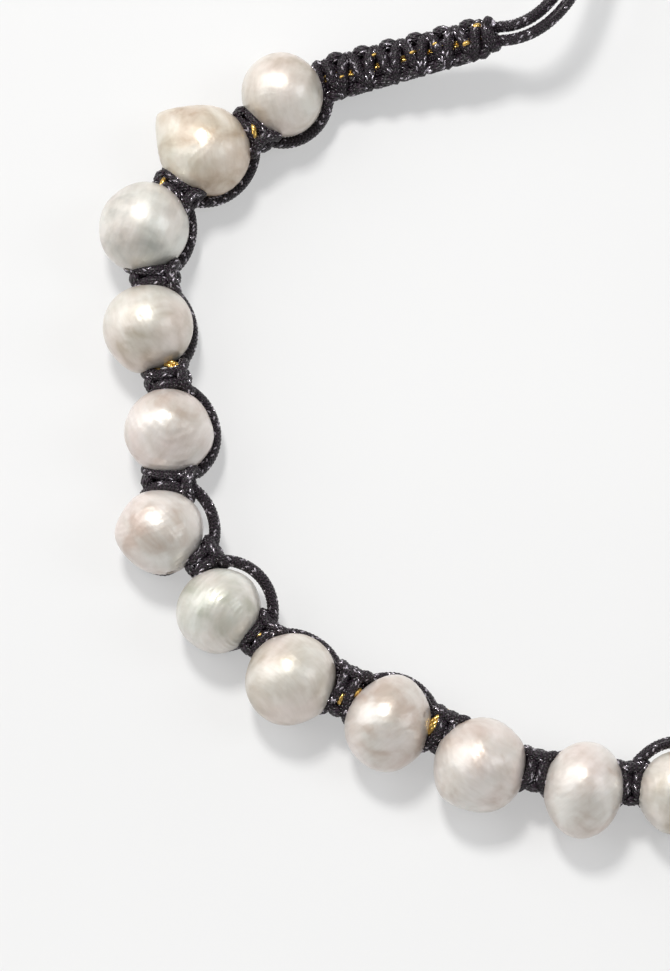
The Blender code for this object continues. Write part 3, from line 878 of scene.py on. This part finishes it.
def make_tails(pearls, closure, material):
    """The pair of cords from each band's end into the closure."""
    for side, pearl in ((-1, pearls[0]), (1, pearls[-1])):
        start, axis, _, _ = band_frame(pearl, side)
        leave = start + axis * (band_length() + CLEARANCE)
        mouth = closure + np.array((side * 0.5 * CLOSURE_LENGTH, 0, 0))
        handles = (
            leave,
            leave + mirrored(direction(TAIL_HEADING, TAIL_RISE), side) * TAIL_START_REACH,
            mouth + np.array((side * TAIL_END_REACH, 0, 0)),
            mouth,
        )
        middle = [leave - axis * 0.9, leave - axis * 0.5]
        middle += [bezier(handles, share) for share in np.linspace(0, 1, 30)]
        middle.append(mouth - np.array((side * SOCKET_DEPTH, 0, 0)))
        for where, sign in (("inner", 1), ("outer", -1)):
            name = f"tail_{'left' if side < 0 else 'right'}_{where}"
            route = []
            for index, point in enumerate(middle):
                ahead = middle[min(index + 1, len(middle) - 1)] - middle[max(index - 1, 0)]
                inward = unit(np.cross(ahead, UP)) * (-side)
                route.append(point + inward * (sign * 0.5 * TAIL_SPACING))
            spacing, sides = (0.1, 16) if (side < 0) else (0.2, 10)
            bundle = Bundle(name, material, name, "dark_cord")
            bundle.add(smooth_path(route, spacing), sides=sides)
            bundle.made()


def make_closure(centre, material):
    """The sleeve round the tail cords, wound from the same cord."""
    size = np.array((CLOSURE_LENGTH, CLOSURE_WIDTH, CLOSURE_HEIGHT))
    half = 0.5 * size - (CORD_RADIUS + STITCH_DEPTH, 0.5 * CORD_WIDTH, 0.5 * CORD_WIDTH)
    steps = CLOSURE_TURNS * 24
    points = []
    for step in range(steps + 1):
        cosine, sine = math.cos(math.tau * step / 24), math.sin(math.tau * step / 24)
        square = (abs(cosine) ** 3 + abs(sine) ** 3) ** (-1 / 3)
        way = (2 * step / steps - 1, cosine * square, sine * square)
        points.append(centre + half * way)
    bundle = Bundle("closure_winding", material, "closure_sleeve", "dark_cord")
    bundle.add(smooth_path(points, 0.16), sides=10)
    bundle.made()


def make_gold(pearls, knots, material):
    """The gold thread through the pearls, and the strands of it that show in the knots."""
    bundle = Bundle("gold_core", material, "core_thread", "gold_thread")
    route = []
    for pearl, knot in zip(pearls, knots + [None]):
        reach = 0.75 * (pearl.hole(1) - pearl.centre)
        route += [pearl.centre - reach, pearl.centre + reach]
        if knot:
            route.append(knot.centre + 0.7 * knot.lean * knot.inward - 0.1 * UP)
    bundle.add(smooth_path(route, 0.2), radius=CORE_RADIUS, sides=8, depth=0)
    for glimpse in GLIMPSE_ROWS:
        knot = knots[glimpse.knot - 1]
        turn = math.radians(glimpse.turn)
        rows = []
        for share in np.linspace(-0.5, 0.5, 5):
            along = glimpse.along + glimpse.length * share * math.cos(turn)
            inward = glimpse.inward - knot.lean + glimpse.length * share * math.sin(turn)
            rows.append((along, inward, glimpse.up - 0.9 * share**2))
        bundle.add(smooth_path(knot.path(rows), 0.06), radius=0.5 * glimpse.width, sides=10, depth=0)
    bundle.made()


def make_pearls(pearls):
    """The pearls with their skin, finer on the side that the camera sees."""
    for pearl in pearls:
        name = f"pearl_{pearl.number:02d}"
        skin = nacre(f"nacre_{pearl.number:02d}", pearl.skin.tint, pearl.number)
        sides, rings = (128, 72) if pearl.number <= 13 else (72, 44)
        ways, faces = pearl.bored_grid(sides, rings)
        points = pearl.centre + ways * (pearl.reach(ways) + pearl.relief(ways))[:, None]
        points[:, 2] = np.maximum(points[:, 2], 0.0)
        obj = add_mesh(name + "_nacre", points, faces, skin, origin=pearl.centre)
        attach(obj, "root")
        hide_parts(name)


# Stage


def look_at_pearls(obj):
    way = Vector(TARGET * MM) - obj.location
    obj.rotation_euler = way.to_track_quat("-Z", "Y").to_euler()


def make_light(row):
    light = bpy.data.lights.new(row.name, "AREA")
    light.shape = "RECTANGLE"
    light.size, light.size_y = row.size
    light.energy = row.power
    light.color = row.colour
    obj = bpy.data.objects.new(row.name, light)
    bpy.context.scene.collection.objects.link(obj)
    obj.location = TARGET * MM + unit(np.array(row.towards)) * LIGHT_DISTANCE
    look_at_pearls(obj)


def make_stage():
    """The pale floor, the soft lamps, and a studio that is bright near the horizon."""
    corners = np.array(((-1, -1, 0), (1, -1, 0), (1, 1, 0), (-1, 1, 0))) * 0.5 * FLOOR_SIZE / MM
    add_mesh("floor", corners, [(0, 1, 2, 3)], paper_floor("floor_paper"))
    for row in LIGHT_ROWS:
        make_light(row)
    world = bpy.data.worlds.new("studio")
    bpy.context.scene.world = world
    world.use_nodes = True
    tree = world.node_tree
    way = node(tree, "ShaderNodeTexCoord").outputs["Generated"]
    height = node(tree, "ShaderNodeSeparateXYZ", {0: way}).outputs["Z"]
    sky = ramp(tree, height, [(place, (level, level, level)) for place, level in SKY_LEVELS])
    tree.links.new(sky, tree.nodes["Background"].inputs["Color"])


def make_camera():
    camera = bpy.data.cameras.new("camera")
    obj = bpy.data.objects.new("camera", camera)
    bpy.context.scene.collection.objects.link(obj)
    rise = math.radians(CAMERA_ELEVATION)
    obj.location = TARGET * MM + CAMERA_DISTANCE * np.array((0, -math.cos(rise), math.sin(rise)))
    look_at_pearls(obj)
    camera.sensor_fit = "VERTICAL"
    camera.sensor_height = CAMERA_SENSOR
    camera.lens = CAMERA_SENSOR * CAMERA_DISTANCE / FRAME_HEIGHT
    camera.clip_start = 0.01
    bpy.context.scene.camera = obj


bpy.context.scene.view_settings.view_transform = "Standard"
string = make_string()
knots = [Knot(number, a, b) for number, (a, b) in enumerate(zip(string, string[1:]), 1)]
dark = braid("dark_cord")
gold = gold_thread("gold_thread")
make_pearls(string)
make_side_cords(string, knots, dark)
make_band("macrame_band_left", string[0], -1, dark, gold, True)
make_band("macrame_band_right", string[-1], 1, dark, gold, False)
left_start, left_axis, _, _ = band_frame(string[0], -1)
left_end = left_start + left_axis * band_length()
closure_centre = np.array((0, left_end[1] + CLOSURE_BEYOND_BAND, 0.5 * CLOSURE_HEIGHT))
make_tails(string, closure_centre, dark)
make_closure(closure_centre, dark)
make_gold(string, knots, gold)
make_stage()
make_camera()
